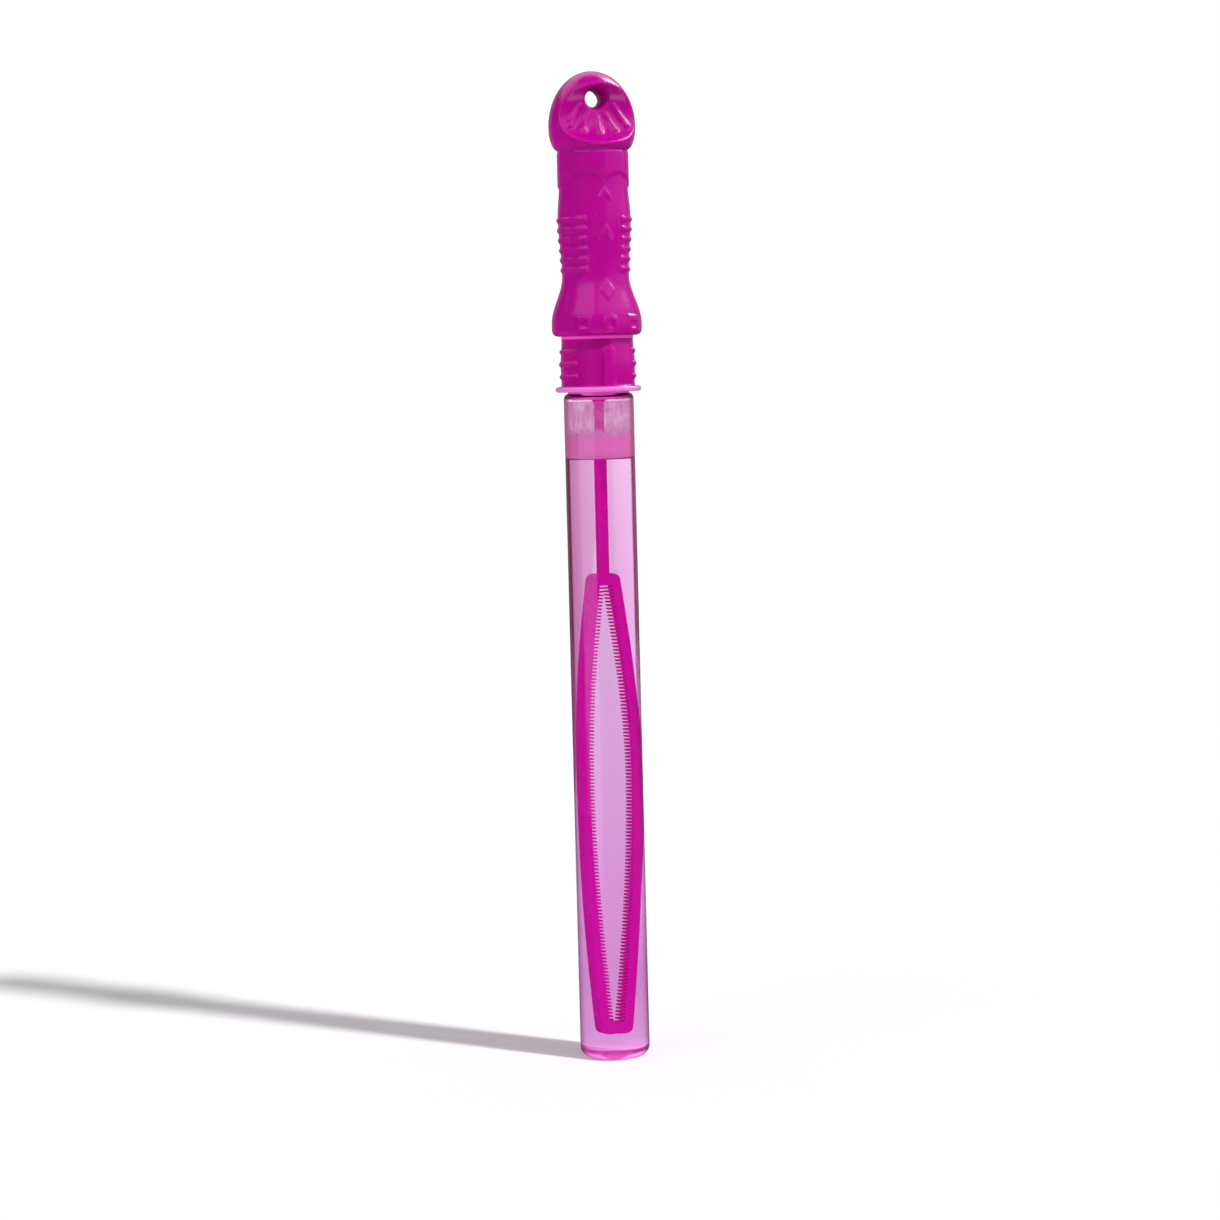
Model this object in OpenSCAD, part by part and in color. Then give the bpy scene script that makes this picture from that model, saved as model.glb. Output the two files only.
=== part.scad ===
// Bubble wand: a clear bottle of bubble solution, a screw collar, and a hollow handle
// whose stopper carries a stem and a long toothed loop down into the bottle.
// Z is up, the bottle stands on Z = 0, and the hanging hole runs along Y, with -Y the front.

/* [Bottle] */
// Outside diameter of the straight tube
tube_d = 26; // [25:0.5:30]
// Height of the bottle up to the top of its shoulder
bottle_h = 249.3; // [225:1:275]
// Thickness of the blown wall
tube_wall = 1; // [0.7:0.1:1.2]
// Radius of the rounded heel
heel_r = 3.8; // [2.5:0.1:5]
// Width of the flat ring that the bottle stands on
foot_w = 1.6; // [1:0.1:2.5]
// How far the middle of the base is pushed up
push_up = 1.2; // [0.6:0.1:2]
// How far the shoulder steps in from the tube to the neck
shoulder_w = 1.6; // [1.4:0.1:1.8]
// Height of the rounded shoulder
shoulder_h = 2.2; // [1.6:0.1:3]
// Height of the neck above the shoulder
neck_h = 15.7; // [13:0.1:18]
// Thickness of the seal on the neck's lip
washer_t = 1; // [0.6:0.1:1.5]

/* [Solution] */
// Air left between the liquid and the shoulder
air_h = 24.4; // [18:0.2:40]

/* [Collar] */
// Thickness of the collar's wall at its widest
collar_wall = 2.15; // [1.8:0.05:2.6]
// Thickness of the collar's top
collar_top = 3.5; // [2.5:0.1:4.5]
// How far the flange stands out from the barrel
flange_w = 2.15; // [1.5:0.05:3]
// Thickness of the flange
flange_t = 2; // [1.5:0.1:2.6]
// How far the collar's finger ribs stand out
collar_rib_out = 0.65; // [0.4:0.05:0.9]
// Width of the upright block on the collar's front and back
block_w = 4.8; // [4:0.1:6]
// Height of that block
block_h = 14.7; // [12:0.1:15.5]

/* [Stopper] */
// Thickness of the stopper's walls
stopper_wall = 1.5; // [1.2:0.1:1.8]
// Length of the plug below the collar's top
plug_h = 22.5; // [21:0.1:26]
// Thickness of the rim that rests on the collar
rim_t = 1.1; // [0.8:0.1:1.5]
// Height of the stub that the handle snaps on to
stub_h = 9; // [6:0.5:12]

/* [Handle] */
// Thickness of the handle's blown shell
handle_wall = 1.3; // [0.9:0.1:1.6]
// Diameter of the skirt
skirt_d = 33.5; // [32:0.5:36]
// Height of the straight part of the skirt with its lower corner
skirt_h = 4.4; // [4:0.1:5.5]
// Height of the flare from the skirt up to the waist
flare_h = 18; // [14:0.5:24]
// Diameter of the waist
waist_d = 24.8; // [23.5:0.1:25.6]
// Height of the ribbed grip
grip_h = 22; // [19:0.5:28]
// Diameter of the swell at the top of the grip
swell_d = 27; // [26:0.1:28]
// Height of the plain part between the grip and the cuff
throat_h = 11; // [10:0.5:13]
// Diameter of the throat under the cuff
throat_d = 25.5; // [24.5:0.1:26]
// Height of the cuff
cuff_h = 13; // [11:0.5:16]
// Diameter of the dome
dome_d = 32.2; // [31:0.1:34]
// Height from the cuff to the dome's widest line
dome_foot_h = 8.5; // [7:0.1:10]
// Height of the dome above its widest line
dome_h = 20.5; // [19:0.1:22]
// Radius of the hanging hole at its narrowest
hole_r = 3.1; // [2.5:0.1:3.3]
// Length of that narrowest stretch
throat_l = 4; // [3:0.1:5]
// Radius of the hanging hole at its two mouths
mouth_r = 4.5; // [4.2:0.1:5]
// Thickness of the dome between the deepest lines of its two hollows
web_t = 12; // [11:0.5:14]
// Radius of those hollows
scoop_r = 12.6; // [12:0.1:14]
// How far the raised ornaments stand out
relief = 0.5; // [0.3:0.05:0.6]

/* [Wand] */
// Diameter of the stem
stem_d = 3.6; // [3:0.1:4]
// Height of the toothed loop
loop_h = 173.5; // [150:0.5:185]
// Depth of the loop from front to back
loop_t = 5; // [4.4:0.1:6]
// Width of the loop's bar behind the teeth
bar_w = 2.7; // [2.2:0.1:2.9]
// Length of each tooth
tooth_l = 1.5; // [1:0.1:1.7]
// Distance from one tooth to the next
tooth_pitch = 1.3; // [1.2:0.05:2]
// Solid height at each end of the loop's opening
loop_end = 4; // [3:0.1:6]
// Gap under the loop when the wand is put away
loop_lift = 9; // [6:0.5:14]

/* [Hidden] */
$fn = 72;

// Points that a curved stretch of an outline gets
steps = 12;
// What a cut runs past the surface it opens
over = 1;
// Gap of the plug in the neck, of the snap fits and of the liquid's skin
fit = 0.05;
// Gap between pieces that pass each other
pass = 0.3;
// Gap between the loop's corners and the neck's bore
loop_gap = 0.5;

tube_r = tube_d / 2;
cavity_r = tube_r - tube_wall;
neck_r = tube_r - shoulder_w;
bore_r = cavity_r - shoulder_w;
foot_r = tube_r - heel_r;
lip_z = bottle_h + neck_h;
fill_z = bottle_h - air_h;

collar_lift = 0.6;
collar_z = bottle_h + collar_lift;
collar_bore_r = neck_r + pass;
collar_r = collar_bore_r + collar_wall;
collar_base_r = collar_r - collar_rib_out * 0.4;
collar_crown_r = collar_r - collar_rib_out * 0.9;
collar_ledge_z = lip_z + washer_t;
collar_top_z = collar_ledge_z + collar_top;
collar_rib_r = 0.8;
collar_rib_count = 3;
collar_rib_half = 35.5;
belly_share = 0.45;
bead_share = 1.2;
block_out = 1;

plug_r = bore_r - fit;
plug_z = collar_top_z - plug_h;
rim_r = collar_crown_r + 0.2 * collar_rib_r;
rim_z = collar_top_z + rim_t;
stub_r = plug_r - stopper_wall + fit;
bead_out = 0.4;
boss_r = stem_d / 2 + stopper_wall;
boss_h = 7;
peg_r = stem_d / 2 - fit * 2;

skirt_z = rim_z + skirt_h;
waist_z = skirt_z + flare_h;
swell_z = waist_z + grip_h;
cuff_z = swell_z + throat_h;
groove_z = cuff_z + cuff_h;
dome_z = groove_z + dome_foot_h;
skirt_r = skirt_d / 2;
waist_r = waist_d / 2;
swell_r = swell_d / 2;
throat_r = throat_d / 2;
dome_r = dome_d / 2;
corner_w = 2.2;
corner_h = 2.4;
hole_z = dome_z + dome_h / 2;
scoop_drop = 4.4;
scoop_y = web_t / 2 + scoop_r;
scoop_z = hole_z - scoop_drop;

// Fan of rays under the hole: turns of their starts and ends, and the ellipse of the ends
ray_turns = [[-74, -33], [-31, -18], [0, 0], [31, 18], [74, 33]];
ray_gap = 1.6;
ray_start_w = 1.6;
ray_end_w = 2.8;
ray_raise = 0.9;
fan_w = 21;
fan_h = 13.3;

cuff_top_gap = 1;
arch_x = throat_r * 0.46;
arch_w = arch_x * 1.05;
arch_h = 4.1;
upper_chevron_w = 2.2;
upper_chevron_fall = 3.4;
upper_chevron_stroke = 1.5;
lower_chevron_w = 2.9;
lower_chevron_fall = 4.9;
lower_chevron_stroke = 0.8;
diamond_w = 2.6;
diamond_h = 3.9;
tab_w = 5.4;
tab_lift = 0.7;
tab_h = skirt_h * 1.5;
tab_turn = 35;

grip_ribs = 6;
grip_rib_r = 0.8;
grip_rib_half = 56.5;
rib_sink = 0.15;

stem_r = stem_d / 2;
loop_z = loop_lift;
loop_top_z = loop_z + loop_h;
loop_r = sqrt(pow(bore_r - loop_gap, 2) - pow(loop_t / 2, 2));
foot_share = 0.495;
head_share = 0.43;
widest_share = 0.56;
loop_corner_r = 2;
flare_r = 3.2;
flare_l = 2.6;
tooth_land = tooth_pitch * 0.5;

magenta = "#b8008c";
light_magenta = "#dc64be";
deep_magenta = "#a8006e";

// Smooth step from 0 to 1
function ease(t) = (1 - cos(180 * t)) / 2;

// Points of an S-shaped stretch from p up to q, each a radius and a height, without q itself
function s_curve(p, q) =
    [for (i = [0 : steps - 1]) [p.x + (q.x - p.x) * ease(i / steps), p.y + (q.y - p.y) * i / steps]];

// Points of an arc about c with half-axes a and b
function arc(c, a, b, from, to) =
    [for (i = [0 : steps]) let (t = from + (to - from) * i / steps) c + [a * cos(t), b * sin(t)]];

// Inside of the bottle from the middle of its base to the top of the straight wall, set in by gap
function cavity_side(gap, top) = concat(
    s_curve([0, push_up + tube_wall + gap], [foot_r - foot_w, tube_wall + gap]),
    [[foot_r - foot_w, tube_wall + gap]],
    arc([foot_r, heel_r], heel_r - tube_wall - gap, heel_r - tube_wall - gap, -90, 0),
    [[cavity_r - gap, top]]
);

module tube_outside() {
    rotate_extrude()
        polygon(concat(
            s_curve([0, push_up], [foot_r - foot_w, 0]),
            [[foot_r - foot_w, 0]],
            arc([foot_r, heel_r], heel_r, heel_r, -90, 0),
            arc([neck_r, bottle_h - shoulder_h], shoulder_w, shoulder_h, 0, 90),
            [[neck_r, lip_z], [0, lip_z]]
        ));
}

module tube_inside() {
    shoulder_z = bottle_h - shoulder_h;
    rotate_extrude()
        polygon(concat(
            cavity_side(0, shoulder_z - shoulder_h),
            arc([bore_r, shoulder_z], shoulder_w, shoulder_h - tube_wall, 0, 90),
            [[bore_r, lip_z + over], [0, lip_z + over]]
        ));
}

// Clear blown bottle with a plain standing base and a straight neck
module tube() {
    color("#f0b4e6", 0.4)
        difference() {
            tube_outside();
            tube_inside();
        }
}

// The liquid, open round the wand as it hangs in it
module bubble_solution() {
    color("#e08cd2", 0.6)
        difference() {
            rotate_extrude()
                polygon(concat(cavity_side(fit, fill_z), [[0, fill_z]]));
            rotate([90, 0, 0])
                linear_extrude(height = loop_t + 2 * pass, center = true)
                    polygon(loop_outline(pass));
            translate([0, 0, loop_top_z - loop_end])
                cylinder(r = stem_r + pass, h = fill_z - loop_top_z + loop_end + over);
        }
}

// Flat ring that seals the neck's lip against the collar
module neck_washer() {
    color("#f5d7ee")
        translate([0, 0, lip_z])
            difference() {
                cylinder(r = neck_r, h = washer_t);
                translate([0, 0, -over])
                    cylinder(r = plug_r + pass, h = washer_t + 2 * over);
            }
}

// Outside radius of the collar's barrel at a share of its height
function barrel_r(t) = t < belly_share
    ? collar_base_r + (collar_r - collar_base_r) * ease(t / belly_share)
    : collar_r + (collar_crown_r - collar_r) * ease((t - belly_share) / (1 - belly_share));

function barrel_z(t) = collar_z + flange_t + (collar_top_z - collar_z - flange_t) * t;

// Side of the barrel from the flange up to the top, standing out by raise
function barrel_side(raise) =
    [for (i = [0 : steps]) let (t = i / steps) [barrel_r(t) + raise, barrel_z(t)]];

module collar_shell() {
    edge_r = flange_t / 2;
    rotate_extrude()
        polygon(concat(
            [[collar_bore_r, collar_z]],
            arc([collar_r + flange_w - edge_r, collar_z + edge_r], edge_r, edge_r, -90, 90),
            barrel_side(0),
            [
                [plug_r + pass, collar_top_z],
                [plug_r + pass, collar_ledge_z],
                [collar_bore_r, collar_ledge_z]
            ]
        ));
}

// Round rib with beaded ends that follows the surface at radius r, out to half_angle on each side
module rib(r, section_r, half_angle) {
    rotate([0, 0, -half_angle])
        rotate_extrude(angle = 2 * half_angle)
            translate([r, 0])
                circle(r = section_r, $fn = 24);
    for (end = [-1, 1])
        rotate([0, 0, end * half_angle])
            translate([r, 0, 0])
                sphere(r = section_r * bead_share, $fn = 24);
}

// Upright block with a round top, on the front and the back of the barrel
module collar_blocks() {
    block_z = collar_z + flange_t;
    intersection() {
        rotate_extrude()
            polygon(concat([[neck_r + collar_wall / 2, barrel_z(0)]], barrel_side(block_out),
                [[neck_r + collar_wall / 2, collar_top_z]]));
        rotate([90, 0, 0])
            linear_extrude(height = 4 * collar_r, center = true) {
                translate([-block_w / 2, block_z])
                    square([block_w, block_h - block_w / 2]);
                translate([0, block_z + block_h - block_w / 2])
                    circle(d = block_w);
            }
    }
}

// Internally threaded collar that closes the bottle, with finger ribs on its two sides
module screw_collar() {
    color(magenta) {
        collar_shell();
        collar_blocks();
        for (side = [0, 180])
            for (i = [1 : collar_rib_count])
                let (t = (i - 0.2) / (collar_rib_count + 0.8))
                    rotate([0, 0, side])
                        translate([0, 0, barrel_z(t)])
                            rib(barrel_r(t) + collar_rib_out - collar_rib_r, collar_rib_r, collar_rib_half);
    }
}

// Cup-shaped plug with a rim, a snap stub above it and a socket for the stem
module stopper() {
    cup_r = plug_r - stopper_wall;
    stub_z = rim_z + handle_wall + fit;
    color(light_magenta)
        difference() {
            rotate_extrude()
                polygon([
                    [0, plug_z],
                    [plug_r, plug_z],
                    [plug_r, collar_top_z],
                    [rim_r, collar_top_z],
                    [rim_r, rim_z],
                    [stub_r, rim_z],
                    [stub_r, stub_z],
                    [stub_r + bead_out, stub_z + bead_out],
                    [stub_r, stub_z + 3 * bead_out],
                    [stub_r, rim_z + stub_h],
                    [stub_r - stopper_wall, rim_z + stub_h],
                    [stub_r - stopper_wall, collar_top_z],
                    [cup_r, collar_top_z - stopper_wall],
                    [cup_r, plug_z + stopper_wall],
                    [boss_r, plug_z + stopper_wall],
                    [boss_r, plug_z + boss_h],
                    [0, plug_z + boss_h]
                ]);
            translate([0, 0, plug_z - over])
                cylinder(r = peg_r + fit, h = boss_h - stopper_wall + over);
        }
}

// Radius of the ribbed grip at height z
function grip_r(z) = waist_r + (swell_r - waist_r) * ease((z - waist_z) / grip_h);

// Side of the handle from its floor to the top of its dome, set in by inset
function handle_side(inset) = concat(
    [[0, rim_z + inset]],
    arc([skirt_r - corner_w, rim_z + corner_h], corner_w - inset, corner_h - inset, -90, 0),
    s_curve([skirt_r - inset, skirt_z], [waist_r - inset, waist_z]),
    s_curve([waist_r - inset, waist_z], [swell_r - inset, swell_z]),
    s_curve([swell_r - inset, swell_z], [throat_r - inset, cuff_z]),
    [[throat_r - inset, cuff_z]],
    arc([throat_r - inset, dome_z], dome_r - throat_r, dome_foot_h, -90, 0),
    arc([0, dome_z], dome_r - inset, dome_h - inset, 0, 90)
);

module handle_revolve(inset) {
    rotate_extrude()
        polygon(handle_side(inset));
}

// The two hollows that flatten the dome's front and back round the hanging hole
module scoops(r) {
    for (side = [-1, 1])
        translate([0, side * scoop_y, scoop_z])
            rotate([0, 90, 0])
                cylinder(r = r, h = 2 * dome_d, center = true);
}

// Hanging hole, narrowest in the middle and wider at both mouths
module hanging_hole() {
    side = [[hole_r, throat_l / 2], [mouth_r, web_t / 2], [mouth_r, dome_r + over], [0, dome_r + over]];
    translate([0, 0, hole_z])
        rotate([90, 0, 0])
            rotate_extrude()
                polygon(concat(side, [for (i = [len(side) - 1 : -1 : 0]) [side[i].x, -side[i].y]]));
}

// One ray of the fan under the hole, from a narrow start to a wide end
module ray(from, to, w1, w2) {
    run = to - from;
    turn = atan2(run.y, run.x);
    translate(from)
        rotate(turn) {
            polygon([[0, -w1 / 2], [norm(run), -w2 / 2], [norm(run), w2 / 2], [0, w1 / 2]]);
            circle(d = w1, $fn = 24);
            translate([norm(run), 0])
                circle(d = w2, $fn = 24);
        }
}

// Five rays, drawn in the plane of the dome's front
module ray_fan() {
    start_r = mouth_r + ray_gap;
    for (turn = ray_turns)
        ray([start_r * sin(turn[0]), -start_r * cos(turn[0])],
            [fan_w * sin(turn[1]), -fan_h * cos(turn[1])], ray_start_w, ray_end_w);
}

module dome_cut() {
    difference() {
        scoops(scoop_r);
        translate([0, 0, hole_z])
            rotate([90, 0, 0])
                linear_extrude(height = 2 * dome_d, center = true)
                    ray_fan();
    }
    scoops(scoop_r - ray_raise);
    hanging_hole();
}

// The cuff as it is seen from the front: a band with two arches in its lower edge
module cuff_area() {
    low_z = cuff_z - relief;
    top_z = groove_z - cuff_top_gap;
    meet = acos(arch_x / arch_w);
    side = concat(
        arc([arch_x, cuff_z], arch_w, arch_h, 180 - meet, 0),
        [[arch_x + arch_w, low_z], [dome_r, low_z], [dome_r, top_z]]
    );
    polygon(concat(side, [for (i = [len(side) - 1 : -1 : 1]) [-side[i].x, side[i].y]]));
}

// Chevron that points up, with its apex at height z
module chevron(z, half_w, fall, stroke) {
    polygon([
        [0, z], [half_w, z - fall], [half_w, z - fall - stroke], [0, z - stroke * 1.4],
        [-half_w, z - fall - stroke], [-half_w, z - fall]
    ]);
}

module diamond(z, half_w, half_h) {
    polygon([[0, z + half_h], [half_w, z], [0, z - half_h], [-half_w, z]]);
}

module figures() {
    cuff_area();
    chevron(cuff_z - relief * 2.5, upper_chevron_w, upper_chevron_fall, upper_chevron_stroke);
    chevron(swell_z - grip_h * 0.18, lower_chevron_w, lower_chevron_fall, lower_chevron_stroke);
    diamond(waist_z - flare_h * 0.31, diamond_w, diamond_h);
}

// Middle tab of the skirt: an arched plate with an arched hollow
module arched_tab(w, h) {
    difference() {
        union() {
            translate([-w / 2, 0])
                square([w, h - w / 3]);
            translate([0, h - w / 2])
                circle(d = w);
        }
        translate([-w / 4, h * 0.25])
            square([w / 2, h * 0.35]);
        translate([0, h * 0.6])
            circle(d = w / 2, $fn = 24);
    }
}

// Side tab of the skirt: a plate with an oblong hollow
module plain_tab(w, h) {
    difference() {
        translate([-w / 2, 0])
            square([w, h]);
        translate([-w * 0.3, h * 0.3])
            square([w * 0.6, h * 0.4]);
    }
}

module skirt_tabs() {
    for (back = [0, 180])
        for (turn = [-tab_turn, 0, tab_turn])
            rotate([0, 0, back + turn])
                rotate([90, 0, 0])
                    linear_extrude(height = skirt_d)
                        translate([0, rim_z + tab_lift])
                            if (turn == 0)
                                arched_tab(tab_w * 0.9, tab_h * 1.05);
                            else
                                plain_tab(tab_w, tab_h);
}

// Ornaments of the front and the back: the cuff, two chevrons, a diamond and the skirt's tabs
module ornaments() {
    intersection() {
        handle_revolve(-relief);
        union() {
            rotate([90, 0, 0])
                linear_extrude(height = 2 * dome_d, center = true)
                    figures();
            skirt_tabs();
        }
    }
}

// Hollow blown handle, closed at the top by a dome with the hanging hole
module handle() {
    color(magenta)
        difference() {
            union() {
                handle_revolve(0);
                ornaments();
                for (side = [0, 180])
                    for (i = [1 : grip_ribs])
                        let (z = waist_z + grip_h * (i - 0.45) / grip_ribs)
                            rotate([0, 0, side])
                                translate([0, 0, z])
                                    rib(grip_r(z) - rib_sink, grip_rib_r, grip_rib_half);
            }
            difference() {
                handle_revolve(handle_wall);
                scoops(scoop_r + handle_wall);
                translate([0, 0, hole_z])
                    rotate([90, 0, 0])
                        cylinder(r = mouth_r + handle_wall, h = dome_d, center = true);
            }
            dome_cut();
            translate([0, 0, rim_z - over])
                cylinder(r = stub_r + fit, h = handle_wall + 2 * over);
        }
}

// Half the loop's outside width at a height above its foot
function loop_half(h) = let (
    s = h / loop_h,
    below = widest_share - s,
    above = s - widest_share,
    swell = s < widest_share
        ? foot_share + (1 - foot_share) * cos(90 * below / widest_share)
        : head_share + (1 - head_share) * cos(90 * above / (1 - widest_share)),
    end = min(h, loop_h - h),
    cut = end < loop_corner_r ? loop_corner_r - sqrt(pow(loop_corner_r, 2) - pow(loop_corner_r - end, 2)) : 0
) loop_r * swell - cut;

// Outside of the loop as a closed outline, grown by gap
function loop_outline(gap) = let (
    n = 6 * steps,
    side = [for (i = [0 : n]) let (h = loop_h * ease(i / n))
        [loop_half(h) + gap, loop_z - gap + (h / loop_h) * (loop_h + 2 * gap)]]
) concat(side, [for (i = [n : -1 : 0]) [-side[i].x, side[i].y]]);

// Opening of the loop with a comb of square teeth down both sides
function comb_side() = let (
    n = floor((loop_h - 2 * loop_end) / tooth_pitch),
    start = (loop_h - n * tooth_pitch - tooth_land) / 2
) concat([
    for (i = [0 : n - 1])
        let (h = start + i * tooth_pitch, root = loop_half(h) - bar_w, tip = root - tooth_l)
            each [[tip, h], [tip, h + tooth_land], [root, h + tooth_land], [root, h + tooth_pitch]]
], [
    for (h = [start + n * tooth_pitch, start + n * tooth_pitch + tooth_land])
        [loop_half(h) - bar_w - tooth_l, h]
]);

module toothed_loop() {
    side = comb_side();
    rotate([90, 0, 0])
        linear_extrude(height = loop_t, center = true)
            difference() {
                polygon(loop_outline(0));
                translate([0, loop_z])
                    polygon(concat(side, [for (i = [len(side) - 1 : -1 : 0]) [-side[i].x, side[i].y]]));
            }
}

// Stem with a trumpet-shaped root under the stopper and a peg in its socket
module stem() {
    peg_h = boss_h - stopper_wall - pass;
    rotate_extrude()
        polygon(concat(
            [[0, loop_top_z - loop_end / 2], [stem_r, loop_top_z - loop_end / 2]],
            [for (i = [0 : steps]) let (t = 90 * i / steps)
                [flare_r - (flare_r - stem_r) * cos(t), plug_z - flare_l + flare_l * sin(t)]],
            [[peg_r, plug_z], [peg_r, plug_z + peg_h], [0, plug_z + peg_h]]
        ));
}

// Toothed loop and its stem, moulded as one
module wand() {
    color(deep_magenta) {
        toothed_loop();
        stem();
    }
}

tube();
bubble_solution();
neck_washer();
screw_collar();
stopper();
handle();
wand();
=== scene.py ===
import math

import bmesh
import bpy
from mathutils import Matrix


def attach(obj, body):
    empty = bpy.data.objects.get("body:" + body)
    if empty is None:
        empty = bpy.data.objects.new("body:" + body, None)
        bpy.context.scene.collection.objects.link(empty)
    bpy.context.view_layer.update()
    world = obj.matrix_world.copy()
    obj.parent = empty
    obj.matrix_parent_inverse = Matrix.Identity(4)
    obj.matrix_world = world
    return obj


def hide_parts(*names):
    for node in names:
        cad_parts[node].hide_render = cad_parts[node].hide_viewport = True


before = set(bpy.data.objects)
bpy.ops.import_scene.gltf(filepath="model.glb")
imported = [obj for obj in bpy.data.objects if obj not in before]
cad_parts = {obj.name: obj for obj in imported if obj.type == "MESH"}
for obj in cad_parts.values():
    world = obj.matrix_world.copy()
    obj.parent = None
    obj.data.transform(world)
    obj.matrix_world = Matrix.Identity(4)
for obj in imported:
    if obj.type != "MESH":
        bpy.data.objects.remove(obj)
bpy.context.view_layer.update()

# Bottle tube.
# One piece of clear, pale pink plastic, blown in a mould. It stands on a flat ring round a
# pushed-up base, and at the top a small shoulder draws it in to the neck.
mm = 0.001
tube_r = 13 * mm
tube_wall = 1 * mm
heel_r = 3.8 * mm
foot_w = 1.6 * mm
push_up = 1.2 * mm
shoulder_w = 1.6 * mm
shoulder_h = 2.2 * mm
bottle_h = 249.3 * mm
lip_z = 265 * mm
lip_edge = 0.3 * mm
tube_sides = 128


def arc(middle, wide, high, start, end, count=8):
    """Points of a turned outline on an elliptic arc, from one angle to another"""
    turns = [math.radians(start + (end - start) * i / count) for i in range(count + 1)]
    return [(middle[0] + wide * math.cos(a), middle[1] + high * math.sin(a)) for a in turns]


def swell(low, high, count=10):
    """Points of a soft S-shaped stretch of a turned outline, without its last point"""
    shares = [(1 - math.cos(math.pi * i / count)) / 2 for i in range(count)]
    return [(low[0] + (high[0] - low[0]) * s, low[1] + (high[1] - low[1]) * i / count)
            for i, s in enumerate(shares)]


def pick(test, kind="VERT"):
    """In edit mode, selects only the vertices or faces that pass a test"""
    bpy.ops.mesh.select_mode(type=kind)
    bpy.ops.mesh.select_all(action="DESELECT")
    shape = bmesh.from_edit_mesh(bpy.context.object.data)
    for part in shape.verts if kind == "VERT" else shape.faces:
        part.select_set(bool(test(part)))
    shape.select_flush_mode()
    bmesh.update_edit_mesh(bpy.context.object.data)


def turned(name, outline, sides):
    """A closed turned piece: a disc is extruded and resized from point to point of its outline"""
    bpy.ops.object.select_all(action="DESELECT")
    r, z = outline[1]
    bpy.ops.mesh.primitive_circle_add(vertices=sides, radius=r, fill_type="TRIFAN", location=(0, 0, z))
    piece = bpy.context.object
    piece.name = piece.data.name = name
    bpy.ops.object.transform_apply()
    bpy.ops.object.mode_set(mode="EDIT")
    bpy.ops.mesh.select_all(action="SELECT")
    for next_r, next_z in outline[2:-1]:
        bpy.ops.mesh.extrude_region_move(TRANSFORM_OT_translate={"value": (0, 0, next_z - z)})
        bpy.ops.transform.resize(value=(next_r / r, next_r / r, 1), center_override=(0, 0, 0))
        r, z = next_r, next_z
    for seen, (_, pole_z) in ((False, outline[0]), (True, outline[-1])):
        shape = bmesh.from_edit_mesh(piece.data)
        pole = [v for v in shape.verts if v.co.xy.length < 0.1 * outline[1][0] and v.select == seen][0]
        rise = pole_z - pole.co.z
        ring = [v.index for v in shape.verts if v.select]
        pick(lambda v, at=pole.index: v.index == at)
        bpy.ops.transform.translate(value=(0, 0, rise))
        pick(lambda v, cap=set(ring): v.index in cap)
    bpy.ops.mesh.select_all(action="SELECT")
    bpy.ops.mesh.normals_make_consistent(inside=False)
    bpy.ops.object.mode_set(mode="OBJECT")
    return piece


def smooth(piece, angle=40):
    """Shades a piece smooth, apart from edges sharper than an angle"""
    bpy.ops.object.select_all(action="DESELECT")
    piece.select_set(True)
    bpy.context.view_layer.objects.active = piece
    bpy.ops.object.shade_smooth_by_angle(angle=math.radians(angle))


def paint(red, green, blue):
    """A colour from its display values of 0 to 255"""
    shares = (red / 255, green / 255, blue / 255)
    return (*(s / 12.92 if s < 0.04045 else ((s + 0.055) / 1.055) ** 2.4 for s in shares), 1)


def node_adder(tree):
    """A function that adds a node to a tree, with its settings, and links or sets its inputs"""
    def add(kind, inputs, **settings):
        node = tree.nodes.new("ShaderNode" + kind)
        for setting, value in settings.items():
            setattr(node, setting, value)
        for socket, value in inputs.items():
            if isinstance(value, bpy.types.NodeSocket):
                tree.links.new(value, node.inputs[socket])
            else:
                node.inputs[socket].default_value = value
        return node
    return add


def blend(add, share, low, high):
    """A colour between two others, at a share of the way"""
    return add("Mix", {0: share, MIX_A: low, MIX_B: high}, data_type="RGBA").outputs[MIX_RESULT]


def material_of(piece, name, **sockets):
    """A new material on a piece: its Principled shader, with sockets set, and its node adder"""
    material = bpy.data.materials.new(name)
    material.use_nodes = True
    piece.data.materials.clear()
    piece.data.materials.append(material)
    shader = material.node_tree.nodes["Principled BSDF"]
    for socket, value in sockets.items():
        shader.inputs[socket.replace("_", " ")].default_value = value
    return material.node_tree, shader, node_adder(material.node_tree)


# How a moulded or blown piece of this toy looks close to: its colour drifts between two tones
# along the flow of the plastic, its gloss has duller patches, and its skin is slightly uneven.
FLOAT, COLOR = "NodeSocketFloat", "NodeSocketColor"
MIX_A, MIX_B, MIX_RESULT = 6, 7, 2
skin = bpy.data.node_groups.new("moulded_skin", "ShaderNodeTree")
for socket, kind, value in (("Tone", COLOR, (1, 1, 1, 1)), ("Deep Tone", COLOR, (1, 1, 1, 1)),
                            ("Flow Scale", FLOAT, 40), ("Gloss", FLOAT, 0.1), ("Dull", FLOAT, 0.2),
                            ("Peel Scale", FLOAT, 700)):
    skin.interface.new_socket(socket, in_out="INPUT", socket_type=kind).default_value = value
for socket, kind in (("Tone", COLOR), ("Roughness", FLOAT), ("Height", FLOAT)):
    skin.interface.new_socket(socket, in_out="OUTPUT", socket_type=kind)
entry, leave = skin.nodes.new("NodeGroupInput"), skin.nodes.new("NodeGroupOutput")
add = node_adder(skin)
place = add("TexCoord", {}).outputs["Object"]
drawn = add("Mapping", {"Vector": place, "Scale": (1, 1, 0.3)}).outputs["Vector"]
flow = add("TexNoise", {"Vector": drawn, "Scale": entry.outputs["Flow Scale"], "Detail": 3,
                        "Roughness": 0.45, "Distortion": 0.6}).outputs["Fac"]
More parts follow.
